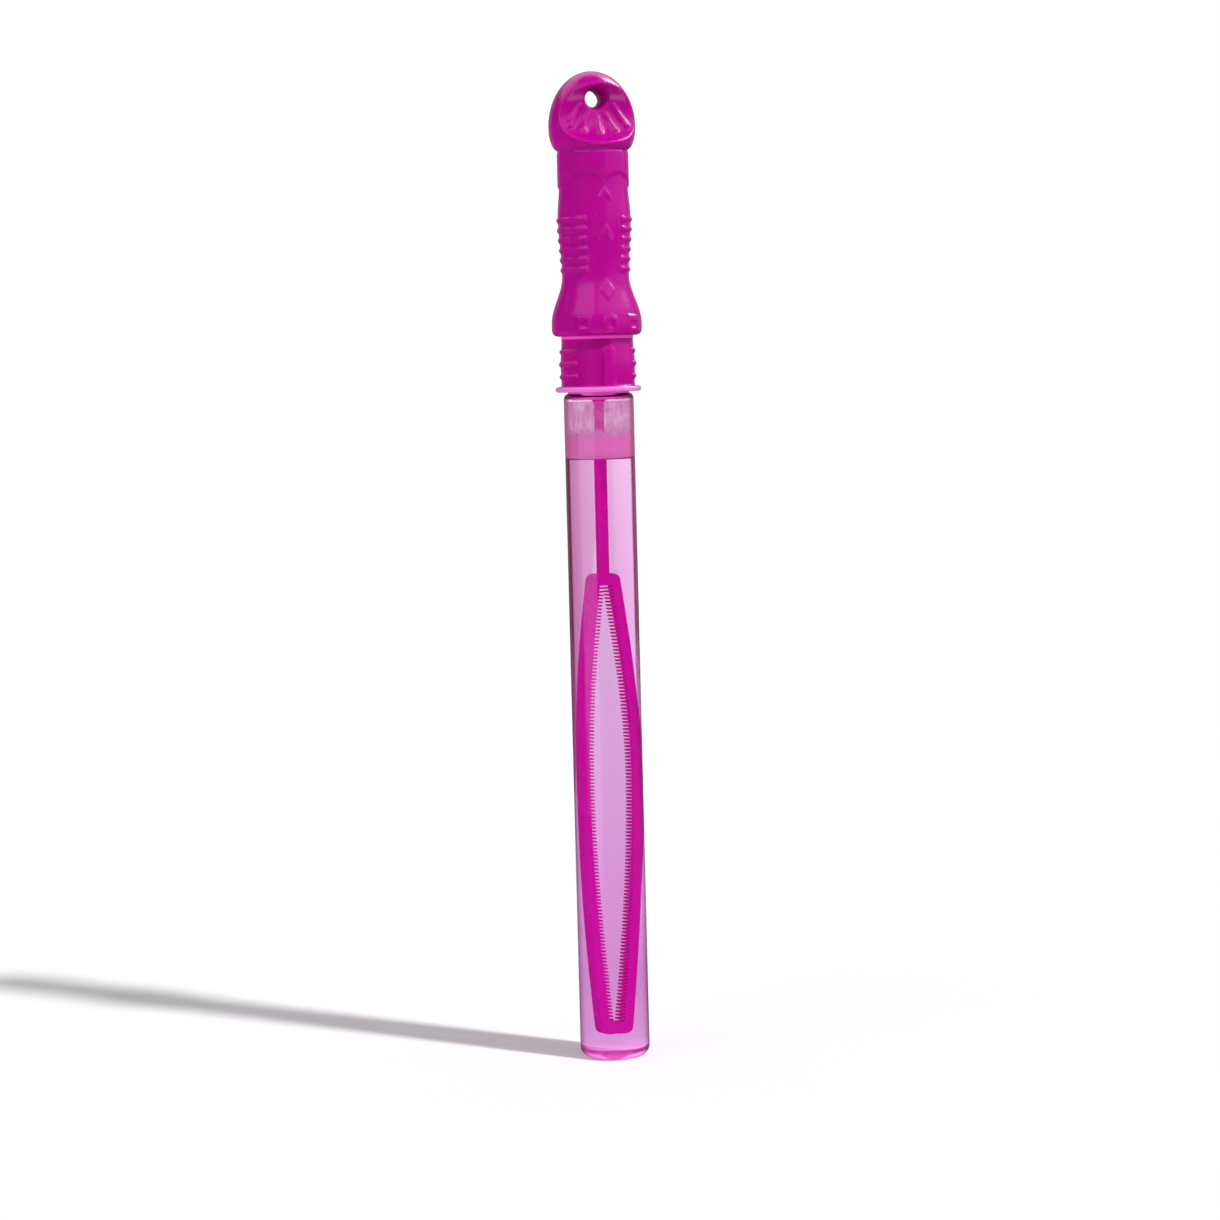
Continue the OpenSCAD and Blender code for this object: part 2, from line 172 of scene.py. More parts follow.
share = add("MapRange", {"Value": flow, "From Min": 0.35, "From Max": 0.65}).outputs["Result"]
tone = blend(add, share, entry.outputs["Tone"], entry.outputs["Deep Tone"])
patches = add("TexNoise", {"Vector": place, "Scale": 260, "Detail": 4, "Roughness": 0.6}).outputs["Fac"]
gloss = add("MapRange", {"Value": patches, "From Min": 0.4, "From Max": 0.7,
                         "To Min": entry.outputs["Gloss"], "To Max": entry.outputs["Dull"]})
peel = add("TexNoise", {"Vector": place, "Scale": entry.outputs["Peel Scale"], "Detail": 2}).outputs["Fac"]
for source, socket in ((tone, "Tone"), (gloss.outputs["Result"], "Roughness"), (peel, "Height")):
    skin.links.new(source, leave.inputs[socket])


def moulded(tree, shader, add, tone, deep, flow=40, gloss=0.1, dull=0.2, peel=700, uneven=0.02):
    """Puts the moulded skin on a shader, with a piece's own tones, gloss and unevenness"""
    skin_node = add("Group", {}, node_tree=skin)
    for socket, value in (("Tone", tone), ("Deep Tone", deep), ("Flow Scale", flow), ("Gloss", gloss),
                          ("Dull", dull), ("Peel Scale", peel)):
        skin_node.inputs[socket].default_value = value
    bump = add("Bump", {"Height": skin_node.outputs["Height"], "Strength": 1, "Distance": uneven * mm})
    tree.links.new(skin_node.outputs["Tone"], shader.inputs["Base Color"])
    tree.links.new(skin_node.outputs["Roughness"], shader.inputs["Roughness"])
    tree.links.new(bump.outputs["Normal"], shader.inputs["Normal"])
    return skin_node


def let_light_in(tree, shader, add, room_tint, lamp_tint):
    """Lets the light of the room and of lamps straight through a clear piece, each with a tint"""
    light = add("LightPath", {}).outputs
    seen = shader.outputs["BSDF"]
    for rays, tint in (("Is Diffuse Ray", room_tint), ("Is Shadow Ray", lamp_tint)):
        through = add("BsdfTransparent", {"Color": tint}).outputs["BSDF"]
        seen = add("MixShader", {0: light[rays], 1: seen, 2: through}).outputs["Shader"]
    tree.links.new(seen, tree.nodes["Material Output"].inputs["Surface"])


foot_r = tube_r - heel_r
ring_r = foot_r - foot_w
neck_r = tube_r - shoulder_w
shoulder_z = bottle_h - shoulder_h
outside = [
    *swell((0, push_up), (ring_r, 0)),
    *arc((foot_r, heel_r), heel_r, heel_r, -90, 0, 12),
    *arc((neck_r, shoulder_z), shoulder_w, shoulder_h, 0, 90, 10),
    *arc((neck_r - lip_edge, lip_z - lip_edge), lip_edge, lip_edge, 0, 90, 4),
]
inner_heel_r = heel_r - tube_wall
inside = [
    *arc((neck_r - tube_wall + lip_edge, lip_z - lip_edge), lip_edge, lip_edge, 90, 180, 4),
    *arc((neck_r - tube_wall, shoulder_z), shoulder_w, shoulder_h - tube_wall, 90, 0, 10),
    *arc((foot_r, heel_r), inner_heel_r, inner_heel_r, 0, -90, 12),
    *swell((0, push_up + tube_wall), (ring_r, tube_wall))[::-1],
]
tube = turned("bottle_tube", outside + inside, tube_sides)
smooth(tube)
tree, shader, add = material_of(tube, "clear_pale_pink", Transmission_Weight=1, IOR=1.45)
skin_node = moulded(tree, shader, add, paint(252, 245, 252), paint(250, 240, 249), gloss=0.015, dull=0.05,
                    peel=90, uneven=0.03)
# Where the tube is seen edge on, its tone is painted a darker pink: painted shade for the darker surroundings
# its edges show.
tube_edge_shade = add("MapRange", {"Value": add("LayerWeight", {"Blend": 0.5}).outputs["Facing"],
                           "From Min": 0.45, "From Max": 0.85}, interpolation_type="SMOOTHSTEP")
tint = blend(add, tube_edge_shade.outputs["Result"], skin_node.outputs["Tone"], paint(216, 164, 200))
tree.links.new(tint, shader.inputs["Base Color"])
let_light_in(tree, shader, add, paint(253, 250, 253), paint(232, 228, 231))
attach(tube, "bottle")
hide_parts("tube")

# Bubble solution.
# Clear pink liquid that wets the whole inside of the tube up to its level, where it climbs the
# wall a little. Its colour is painted deeper towards the base and painted dark where it is seen
# edge on, both painted shade, and a painted glow in the heel and under its brim stands for the
# light that gathers there.
fill_z = 224.9 * mm
wetting = 0.02 * mm
climb = 0.7 * mm
climb_w = 1.2 * mm
heel_glow_z, heel_fade_z = 1.2 * mm, 3.2 * mm
brim_glow_h = 0.2 * mm
cavity_r = tube_r - tube_wall + wetting
liquid = turned("solution_fill", [
    *swell((0, push_up + tube_wall - wetting), (ring_r, tube_wall - wetting)),
    *arc((foot_r, heel_r), inner_heel_r + wetting, inner_heel_r + wetting, -90, 0, 12),
    *arc((cavity_r - climb_w, fill_z + climb), climb_w, climb, 0, -90, 5),
    (0, fill_z),
], tube_sides)
smooth(liquid, 60)
tree, shader, add = material_of(liquid, "pink_solution", Transmission_Weight=1, IOR=1.33, Roughness=0)
# The colour is painted deeper towards the base: painted shading by height.
spot = add("SeparateXYZ", {"Vector": add("TexCoord", {}).outputs["Object"]}).outputs["Z"]
depth = add("MapRange", {"Value": spot, "From Min": 0, "From Max": fill_z}).outputs["Result"]
ramp = add("ValToRGB", {"Fac": depth})
stops = ramp.color_ramp.elements
stops[0].position, stops[0].color = 0.0, paint(242, 186, 244)
stops[1].position, stops[1].color = 1.0, paint(244, 212, 244)
for where, colour in ((0.12, paint(232, 164, 227)), (0.3, paint(232, 177, 236)),
                      (0.5, paint(234, 190, 236))):
    stops.new(where).color = colour
# Where the liquid is seen edge on, its colour is painted dark magenta, less so near the base: painted shade.
edge_on = add("MapRange", {"Value": add("LayerWeight", {"Blend": 0.5}).outputs["Facing"],
                           "From Min": 0.225, "From Max": 0.26}, interpolation_type="SMOOTHSTEP")
fading = add("MapRange", {"Value": depth, "From Min": 0.42, "From Max": 0.72, "To Min": 0.1})
liquid_edge_shade = add("Math", {0: edge_on.outputs["Result"], 1: fading.outputs["Result"]}, operation="MULTIPLY")
tint = blend(add, liquid_edge_shade.outputs["Value"], ramp.outputs["Color"], paint(97, 25, 56))
tree.links.new(tint, shader.inputs["Base Color"])
# A painted glow in the heel and just under the brim: painted light, made with emission, for light that
# gathers there.
heel = add("MapRange", {"Value": spot, "From Min": heel_fade_z, "From Max": heel_glow_z})
brim = add("MapRange", {"Value": spot, "From Min": fill_z + wetting, "From Max": fill_z + brim_glow_h,
                        "To Max": 0.3})
gathered = add("Math", {0: heel.outputs["Result"], 1: brim.outputs["Result"]}, operation="MAXIMUM")
painted_glow = blend(add, gathered.outputs["Value"], paint(0, 0, 0), paint(176, 78, 150))
tree.links.new(painted_glow, shader.inputs["Emission Color"])
shader.inputs["Emission Strength"].default_value = 1
let_light_in(tree, shader, add, paint(250, 238, 250), paint(190, 128, 180))
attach(liquid, "bottle")
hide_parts("bubble_solution")

# Foam on the solution.
# Fine pink foam that stands on the liquid. Above it, a film of foam and droplets clings to the wall
# of the tube, patchy and streaked where it has run down, and thinner at the front than at the back.
foam_gap = 0.1 * mm
foam_low = fill_z + foam_gap
foam_h = 6 * mm
thick_h, thin_h = 6.5 * mm, 12.5 * mm
run_l = 9 * mm
foam_r = 11.95 * mm
film_t = 0.08 * mm
film_gap = 0.6 * mm
film_top = shoulder_z - film_gap
film_thin_y, film_full_y = -8 * mm, 3 * mm
foam_cell_depth = 0.1 * mm
foam = turned("foam", [
    (0, foam_low), (foam_r * 0.5, foam_low), (foam_r * 0.95, foam_low + climb * 0.2),
    (foam_r, foam_low + climb * 1.1), (foam_r, foam_low + foam_h * 0.5), (foam_r, foam_low + foam_h),
    (foam_r, film_top), (foam_r - film_t, film_top), (foam_r - film_t, foam_low + foam_h * 1.2),
    (foam_r * 0.9, foam_low + foam_h), (foam_r * 0.6, foam_low + foam_h * 0.85),
    (foam_r * 0.3, foam_low + foam_h * 0.8), (0, foam_low + foam_h * 0.8),
], tube_sides)
smooth(foam, 60)
tree, shader, add = material_of(foam, "pink_foam", Roughness=0.4, IOR=1.33)
place = add("TexCoord", {}).outputs["Object"]
cells = add("TexVoronoi", {"Vector": place, "Scale": 1300}, feature="F1").outputs["Distance"]
clouds = add("TexNoise", {"Vector": place, "Scale": 190, "Detail": 4, "Roughness": 0.6}).outputs["Fac"]
runs = add("Mapping", {"Vector": place, "Scale": (1, 1, 0.22)}).outputs["Vector"]
streaks = add("TexNoise", {"Vector": runs, "Scale": 750, "Detail": 3}).outputs["Fac"]
spots = add("SeparateXYZ", {"Vector": place}).outputs
runs_down = add("Math", {0: streaks, 1: run_l, 2: -run_l / 2}, operation="MULTIPLY_ADD").outputs["Value"]
height = add("Math", {0: spots["Z"], 1: runs_down}, operation="ADD").outputs["Value"]
standing = add("MapRange", {"Value": height, "From Min": foam_low + thin_h, "From Max": foam_low + thick_h},
               interpolation_type="SMOOTHSTEP").outputs["Result"]
share_of = {}
for quality, source, ends, least, most in (
        ("around", spots["Y"], (film_thin_y, film_full_y), 0.12, 0.5),
        ("patchy", clouds, (0.35, 0.65), 0.5, 1.2), ("streaky", streaks, (0.35, 0.65), 0.7, 1.3)):
    share_of[quality] = add("MapRange", {"Value": source, "From Min": ends[0], "From Max": ends[1],
                                         "To Min": least, "To Max": most}).outputs["Result"]
cover = add("Math", {0: share_of["patchy"], 1: share_of["streaky"]}, operation="MULTIPLY")
for share, operation in ((share_of["around"], "MULTIPLY"), (standing, "MAXIMUM")):
    cover = add("Math", {0: cover.outputs["Value"], 1: share}, operation=operation)
tree.links.new(cover.outputs["Value"], shader.inputs["Alpha"])
froth = blend(add, standing, paint(255, 196, 255), paint(240, 118, 200))
froth = blend(add, share_of["patchy"], paint(240, 130, 210), froth)
tree.links.new(froth, shader.inputs["Base Color"])
bump = add("Bump", {"Height": cells, "Strength": 0.6, "Distance": foam_cell_depth}).outputs["Normal"]
tree.links.new(bump, shader.inputs["Normal"])
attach(foam, "bottle")

# Seal.
# A flat ring punched from soft foamed sheet, that lies on the neck's lip under the collar.
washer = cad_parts["neck_washer"]
seal_cell_depth = 0.05 * mm
tree, shader, add = material_of(washer, "foamed_seal", Roughness=0.8)
place = add("TexCoord", {}).outputs["Object"]
cells = add("TexVoronoi", {"Vector": place, "Scale": 2200}, feature="F1").outputs["Distance"]
pale = blend(add, cells, paint(246, 228, 242), paint(225, 200, 220))
tree.links.new(pale, shader.inputs["Base Color"])
bump = add("Bump", {"Height": cells, "Strength": 0.5, "Distance": seal_cell_depth}).outputs["Normal"]
tree.links.new(bump, shader.inputs["Normal"])

# Wand.
# Stem and toothed loop, moulded as one in gloss magenta. The two bars of the loop swell apart
# like a long leaf and carry a comb of square teeth that holds the film of solution.
loop_z = 9 * mm
loop_h = 173.5 * mm
loop_t = 5 * mm
loop_r = 9.58 * mm
bar_w = 2.7 * mm
tooth_l = 1.5 * mm
tooth_pitch = 1.3 * mm
tooth_land = tooth_pitch / 2
loop_end = 4 * mm
loop_corner = 2 * mm
widest, foot_share, head_share = 0.56, 0.495, 0.43
tooth_edge = 0.14 * mm
least_gap = 0.2 * mm
seam, double = 0.01 * mm, 0.001 * mm
stem_r = 1.8 * mm
root_r = 3.2 * mm
root_l = 2.6 * mm
plug_z = 247 * mm
peg_r = 1.7 * mm
peg_h = 5.2 * mm


def loop_side(h):
    """Half the loop's outside width at a height above its foot"""
    s = h / loop_h
    if s < widest:
        share = foot_share + (1 - foot_share) * math.cos(math.pi / 2 * (widest - s) / widest)
    else:
        share = head_share + (1 - head_share) * math.cos(math.pi / 2 * (s - widest) / (1 - widest))
    end = min(h, loop_h - h)
    cut = loop_corner - math.sqrt(loop_corner ** 2 - (loop_corner - end) ** 2) if end < loop_corner else 0
    return loop_r * share - cut


# The web that closes the loop at each end takes in the last tooth there, so the mesh stays closed.
teeth = math.floor((loop_h - 2 * loop_end) / tooth_pitch)
comb_low = (loop_h - teeth * tooth_pitch - tooth_land) / 2
comb_high = loop_h - comb_low
web_low, web_high = comb_low + tooth_land, comb_high - tooth_land
corner = [loop_corner * (1 - math.cos(math.radians(a))) for a in range(0, 91, 30)]
heights = corner + [comb_low]
for tooth in range(teeth + 1):
    heights += [comb_low + tooth * tooth_pitch + tooth_land, comb_low + (tooth + 1) * tooth_pitch]
heights = heights[:-1] + [loop_h - h for h in corner[::-1]]
bpy.ops.object.select_all(action="DESELECT")
side, width = loop_side(0), bar_w - least_gap
bpy.ops.mesh.primitive_plane_add(size=1, location=(side - width / 2, 0, loop_z))
wand = bpy.context.object
wand.name = wand.data.name = "wand_loop"
bpy.ops.transform.resize(value=(width, loop_t, 1))
bpy.ops.object.transform_apply()
bpy.ops.object.mode_set(mode="EDIT")
bpy.ops.mesh.select_all(action="SELECT")
for low, high in zip(heights, heights[1:]):
    next_side = loop_side(high)
    next_width = min(bar_w, next_side - least_gap)
    bpy.ops.mesh.extrude_region_move(
        TRANSFORM_OT_translate={"value": (next_side - side, 0, high - low)})
    bpy.ops.transform.resize(value=(next_width / width, 1, 1), center_override=(next_side, 0, 0))
    side, width = next_side, next_width
bpy.ops.mesh.select_all(action="SELECT")
bpy.ops.mesh.normals_make_consistent(inside=False)


def inner_side(face, test):
    """True for a face on the bar's inner side whose middle is at a height that passes a test"""
    return face.normal.x < -0.5 and test(face.calc_center_median().z - loop_z)


pick(lambda f: inner_side(f, lambda h: not web_low < h < web_high), "FACE")
bpy.ops.mesh.extrude_region_move(TRANSFORM_OT_translate={"value": (0, 0, 0)})
bpy.ops.transform.resize(value=(0, 1, 1), center_override=(0, 0, 0))
bpy.ops.mesh.delete(type="FACE")
pick(lambda f: inner_side(f, lambda h: web_low < h < web_high
                          and (h - comb_low) % tooth_pitch < tooth_land), "FACE")
bpy.ops.mesh.extrude_region_move(TRANSFORM_OT_translate={"value": (-tooth_l, 0, 0)})
bpy.ops.object.mode_set(mode="OBJECT")


def apply_all(piece):
    """Applies a piece's modifiers in their order"""
    bpy.ops.object.select_all(action="DESELECT")
    piece.select_set(True)
    bpy.context.view_layer.objects.active = piece
    for modifier in list(piece.modifiers):
        bpy.ops.object.modifier_apply(modifier=modifier.name)


mirror = wand.modifiers.new("both_bars", "MIRROR")
mirror.use_clip, mirror.merge_threshold = True, seam
rounding = wand.modifiers.new("rounded_edges", "BEVEL")
rounding.width, rounding.segments, rounding.limit_method = tooth_edge, 2, "ANGLE"
rounding.angle_limit = math.radians(50)
apply_all(wand)
bpy.ops.object.mode_set(mode="EDIT")
bpy.ops.mesh.select_all(action="SELECT")
bpy.ops.mesh.remove_doubles(threshold=double)
bpy.ops.mesh.normals_make_consistent(inside=False)
bpy.ops.object.mode_set(mode="OBJECT")
root_z = plug_z - root_l
stem = turned("stem", [
    (0, loop_z + loop_h - loop_corner), (stem_r, loop_z + loop_h - loop_corner), (stem_r, root_z),
    *[(root_r - (root_r - stem_r) * math.cos(math.radians(a)), root_z + root_l * math.sin(math.radians(a)))
      for a in range(15, 91, 15)],
    (peg_r, plug_z), (peg_r, plug_z + peg_h), (0, plug_z + peg_h),
], 48)


def combine(piece, other, operation):
    """Adds, takes away or keeps what is shared with another piece, which is then deleted"""
    joint = piece.modifiers.new(operation.lower(), "BOOLEAN")
    joint.operation, joint.object, joint.solver = operation, other, "EXACT"
    apply_all(piece)
    bpy.data.objects.remove(other)


combine(wand, stem, "UNION")
smooth(wand, 35)
# The emission is a painted glow: painted light that lifts the wand inside the liquid.
tree, shader, add = material_of(wand, "wand_magenta", IOR=1.49, Specular_IOR_Level=0.12,
                                Emission_Color=paint(82, 0, 74), Emission_Strength=1)
moulded(tree, shader, add, paint(234, 2, 184), paint(226, 0, 168), flow=60, gloss=0.18, dull=0.32)
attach(wand, "wand_unit")
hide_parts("wand")

# Stopper.
# A cup-shaped plug in light magenta that pulls out of the neck. Its rim rests on the collar, its
# stub snaps into the handle, and a boss in its floor holds the stem's peg.
collar_top_z = 269.5 * mm
stopper_wall = 1.5 * mm
plug_r = 10.35 * mm
rim_r = 13.425 * mm
rim_z = 270.6 * mm
stub_r = 8.9 * mm
stub_h = 9 * mm
bead = 0.4 * mm
boss_r = 3.3 * mm
boss_h = 7 * mm
edge_r = 0.25 * mm
stub_bead_rise = 1.35 * mm
stub_bead_z = rim_z + stub_bead_rise
stopper_scatter = 1.5 * mm
stopper = turned("stopper_plug", [
    (0, plug_z), (plug_r - edge_r * 2, plug_z), (plug_r - edge_r * 0.6, plug_z + edge_r * 0.6),
    (plug_r, plug_z + edge_r * 2), (plug_r, collar_top_z),
    *arc((rim_r - edge_r, collar_top_z + edge_r), edge_r, edge_r, -90, 0, 4),
    *arc((rim_r - edge_r, rim_z - edge_r), edge_r, edge_r, 0, 90, 4),
    (stub_r, rim_z), (stub_r, stub_bead_z), (stub_r + bead, stub_bead_z + bead),
    (stub_r, stub_bead_z + 3 * bead), (stub_r, rim_z + stub_h),
    (stub_r - stopper_wall, rim_z + stub_h), (stub_r - stopper_wall, collar_top_z),
    (plug_r - stopper_wall, collar_top_z - stopper_wall), (plug_r - stopper_wall, plug_z + stopper_wall),
    (boss_r, plug_z + stopper_wall), (boss_r, plug_z + boss_h), (0, plug_z + boss_h),
], 96)
smooth(stopper, 35)
# The emission is a painted glow: painted light that keeps the stopper bright in the shade under the handle's
# skirt.
tree, shader, add = material_of(stopper, "light_magenta", IOR=1.49, Subsurface_Weight=0.25,
                                Subsurface_Scale=stopper_scatter, Emission_Color=paint(148, 30, 112),
                                Emission_Strength=1)
moulded(tree, shader, add, paint(226, 88, 198), paint(216, 74, 186), gloss=0.16, dull=0.3)
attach(stopper, "wand_unit")
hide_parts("stopper")

# Collar.
# A moulded magenta ring that screws on the neck. A thin flange stands out at its foot, three
# beaded finger ribs lie on each side, and an upright block stands on its front and back.
collar_z = 249.9 * mm
flange_t = 2 * mm
flange_w = 2.15 * mm
collar_bore_r = 11.7 * mm
collar_r = 13.85 * mm
collar_base_r = 13.59 * mm
collar_crown_r = 13.265 * mm
collar_ledge_z = 266 * mm
collar_rib_out = 0.65 * mm
collar_rib_r = 0.8 * mm
collar_rib_half = 35.5
belly_share = 0.45
block_w = 4.8 * mm
block_h = 14.7 * mm
block_out = 1 * mm
block_sink = 0.4 * mm
plug_gap = 0.3 * mm
overrun = 1 * mm
start_r = 1 * mm
barrel_low = collar_z + flange_t
rib_start, rib_steps = 0.2, 3.8
edge_up, edge_down = 0.1 * mm, 0.4 * mm
round_sides = 128
collar_voxel = 0.3 * mm
scatter = 2.2 * mm


def barrel_r(t):
    """Outside radius of the collar's barrel at a share of its height"""
    if t < belly_share:
        return collar_base_r + (collar_r - collar_base_r) * (1 - math.cos(math.pi * t / belly_share)) / 2
    t = (t - belly_share) / (1 - belly_share)
    return collar_r + (collar_crown_r - collar_r) * (1 - math.cos(math.pi * t)) / 2


def barrel(raised, low, high, count=14):
    """Side of the barrel between two shares of its height, standing out by a distance"""
    shares = [low + (high - low) * i / count for i in range(count + 1)]
    return [(barrel_r(t) + raised, barrel_low + (collar_top_z - barrel_low) * t) for t in shares]


def rib(r, z, thick, half, middle, end_size=1.25):
    """A finger rib with beaded ends: a disc spun part way round the axis, with a ball at each end"""
    bpy.ops.object.select_all(action="DESELECT")
    turn = Matrix.Rotation(math.radians(middle - half), 3, "Z")
    bpy.ops.mesh.primitive_circle_add(vertices=16, radius=thick, fill_type="NGON",
                                      location=turn @ Matrix.Identity(3).col[0] * r,
                                      rotation=(math.pi / 2, 0, math.radians(middle - half)))
    bow = bpy.context.object
    bow.location.z = z
    bpy.ops.object.transform_apply()
    bpy.ops.object.mode_set(mode="EDIT")
    bpy.ops.mesh.select_all(action="SELECT")
    bpy.ops.mesh.spin(steps=40, angle=math.radians(2 * half), center=(0, 0, z), axis=(0, 0, -1))
    bpy.ops.mesh.select_all(action="SELECT")
    bpy.ops.mesh.normals_make_consistent(inside=False)
    bpy.ops.object.mode_set(mode="OBJECT")
    balls = []
    for end in (middle - half, middle + half):
        place = Matrix.Rotation(math.radians(end), 3, "Z") @ Matrix.Identity(3).col[0] * r
        bpy.ops.mesh.primitive_uv_sphere_add(segments=20, ring_count=12, radius=thick * end_size,
                                             location=(place.x, place.y, z))
        bpy.ops.object.transform_apply()
        balls.append(bpy.context.object)
    return [bow, *balls]


def melt(piece, others, voxel, rounds):
    """Joins pieces into one skin, with the soft edges of a moulding"""
    bpy.ops.object.select_all(action="DESELECT")
    for other in [*others, piece]:
        other.select_set(True)
    bpy.context.view_layer.objects.active = piece
    bpy.ops.object.join()
    fuse = piece.modifiers.new("one_skin", "REMESH")
    fuse.mode, fuse.voxel_size, fuse.use_smooth_shade = "VOXEL", voxel, True
    soften = piece.modifiers.new("soft_edges", "SMOOTH")
    soften.factor, soften.iterations = 0.5, rounds
    apply_all(piece)


collar = turned("collar_ring", [
    (0, collar_z), (collar_bore_r, collar_z),
    *arc((collar_r + flange_w - flange_t / 2, collar_z + flange_t / 2), flange_t / 2, flange_t / 2, -90, 90),
    *barrel(0, 0, 1),
    (0, collar_top_z),
], round_sides)
bore = turned("bore", [
    (0, collar_z - overrun), (collar_bore_r, collar_z - overrun),
    (collar_bore_r, collar_ledge_z), (plug_r + plug_gap, collar_ledge_z),
    (plug_r + plug_gap, collar_top_z + overrun), (0, collar_top_z + overrun),
], round_sides)
combine(collar, bore, "DIFFERENCE")


def plate(points, low_y, high_y):
    """A flat figure given by its corners in the front view, extruded from one depth to another"""
    bpy.ops.object.select_all(action="DESELECT")
    bpy.ops.mesh.primitive_circle_add(vertices=len(points), radius=start_r, fill_type="NGON")
    figure = bpy.context.object
    bpy.ops.object.mode_set(mode="EDIT")
    for i, (x, z) in enumerate(points):
        pick(lambda v, at=i: v.index == at)
        here = [v for v in bmesh.from_edit_mesh(figure.data).verts if v.select][0].co
        bpy.ops.transform.translate(value=(x - here.x, low_y - here.y, z - here.z))
    bpy.ops.mesh.select_all(action="SELECT")
    bpy.ops.mesh.extrude_region_move(TRANSFORM_OT_translate={"value": (0, high_y - low_y, 0)})
    bpy.ops.mesh.select_all(action="SELECT")
    bpy.ops.mesh.normals_make_consistent(inside=False)
    bpy.ops.object.mode_set(mode="OBJECT")
    return figure


block = plate([(-block_w / 2, barrel_low), (block_w / 2, barrel_low),
               *arc((0, barrel_low + block_h - block_w / 2), block_w / 2, block_w / 2, 0, 180, 16)],
              -2 * collar_r, 2 * collar_r)
raised = turned("raised", [(0, barrel_low - overrun / 2), *barrel(block_out, 0, 1), (0, collar_top_z)],
                round_sides)
combine(block, raised, "INTERSECT")
core = turned("core", [
    (0, collar_z), (collar_bore_r + block_sink, collar_z),
    (collar_bore_r + block_sink, collar_top_z + overrun), (0, collar_top_z + overrun),
], round_sides)
combine(block, core, "DIFFERENCE")
ribs = [block]
for middle in (0, 180):
    for i in (1, 2, 3):
        t = (i - rib_start) / rib_steps
        z = barrel_low + (collar_top_z - barrel_low) * t
        ribs += rib(barrel_r(t) + collar_rib_out - collar_rib_r, z, collar_rib_r, collar_rib_half, middle)
melt(collar, ribs, collar_voxel, 3)
tree, shader, add = material_of(collar, "collar_magenta", IOR=1.49, Subsurface_Weight=0.6,
                                Subsurface_Scale=scatter)
skin_node = moulded(tree, shader, add, paint(196, 1, 154), paint(186, 0, 140), gloss=0.16, dull=0.28)
# The flange below the barrel is painted a lighter pink: painted light, for light shining through its thin
# plastic.
spot = add("SeparateXYZ", {"Vector": add("TexCoord", {}).outputs["Object"]}).outputs["Z"]
flange_lit_share = add("MapRange", {"Value": spot, "From Min": barrel_low + edge_up, "From Max": barrel_low - edge_down},
           interpolation_type="SMOOTHSTEP").outputs["Result"]
flange_lit_tone = blend(add, flange_lit_share, skin_node.outputs["Tone"], paint(242, 134, 226))
tree.links.new(flange_lit_tone, shader.inputs["Base Color"])
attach(collar, "collar")
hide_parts("screw_collar")

# Handle.
# A hollow grip blown in a mould in gloss magenta. A skirt flares out at its foot, six beaded
# ribs lie on each side, and a dome with a hanging hole closes it. Its figures stand proud.
skirt_r, corner_w, corner_h = 16.75 * mm, 2.2 * mm, 2.4 * mm
skirt_z, waist_z, swell_z, cuff_z, groove_z, dome_z = (z * mm for z in (275, 293, 315, 326, 339, 347.5))
waist_r, swell_r, throat_r, dome_r = (r * mm for r in (12.4, 13.5, 12.75, 16.1))
dome_foot_h, dome_h = 8.5 * mm, 20.5 * mm
top_z = dome_z + dome_h
hole_z = dome_z + dome_h / 2
hole_r, mouth_r, throat_l, web_t = 3.1 * mm, 4.5 * mm, 4 * mm, 12 * mm
hollow_r, hollow_z = 12.6 * mm, hole_z - 4.4 * mm
ray_turns = ((-74, -33), (-31, -18), (0, 0), (31, 18), (74, 33))
ray_start_r, ray_start_w, ray_end_w, ray_raise = mouth_r + 1.6 * mm, 1.6 * mm, 2.8 * mm, 1.3 * mm
fan_w, fan_h = 21 * mm, 13.3 * mm
relief = 0.5 * mm
grip_rib_r, rib_sink, grip_rib_half = 0.8 * mm, 0.15 * mm, 56.5
grip_ribs, grip_rib_start = 6, 0.45
handle_sides, hole_sides = 160, 64
ray_steps, ray_tip_share, least_tip_share = 16, 1 / 8, 0.03
ray_voxel, handle_voxel = 0.35 * mm, 0.38 * mm


def handle_side(out):
    """Outline of the handle from its floor to the top of its dome, standing out by a distance"""
    return [
        (0, rim_z - out),
        *arc((skirt_r - corner_w, rim_z + corner_h), corner_w + out, corner_h + out, -90, 0, 10),
        *swell((skirt_r + out, skirt_z), (waist_r + out, waist_z), 20),
        *swell((waist_r + out, waist_z), (swell_r + out, swell_z), 16),
        *swell((swell_r + out, swell_z), (throat_r + out, cuff_z), 10),
        (throat_r + out, cuff_z),
        *arc((throat_r + out, dome_z), dome_r - throat_r, dome_foot_h, -90, 0, 12),
        *arc((0, dome_z), dome_r + out, dome_h + out, 0, 90, 24)[1:-1],
        (0, top_z + out),
    ]


def hollow_y(z):
    """Depth of the hollow's face at a height, measured from the dome's middle"""
    return web_t / 2 + hollow_r - math.sqrt(hollow_r ** 2 - (z - hollow_z) ** 2)


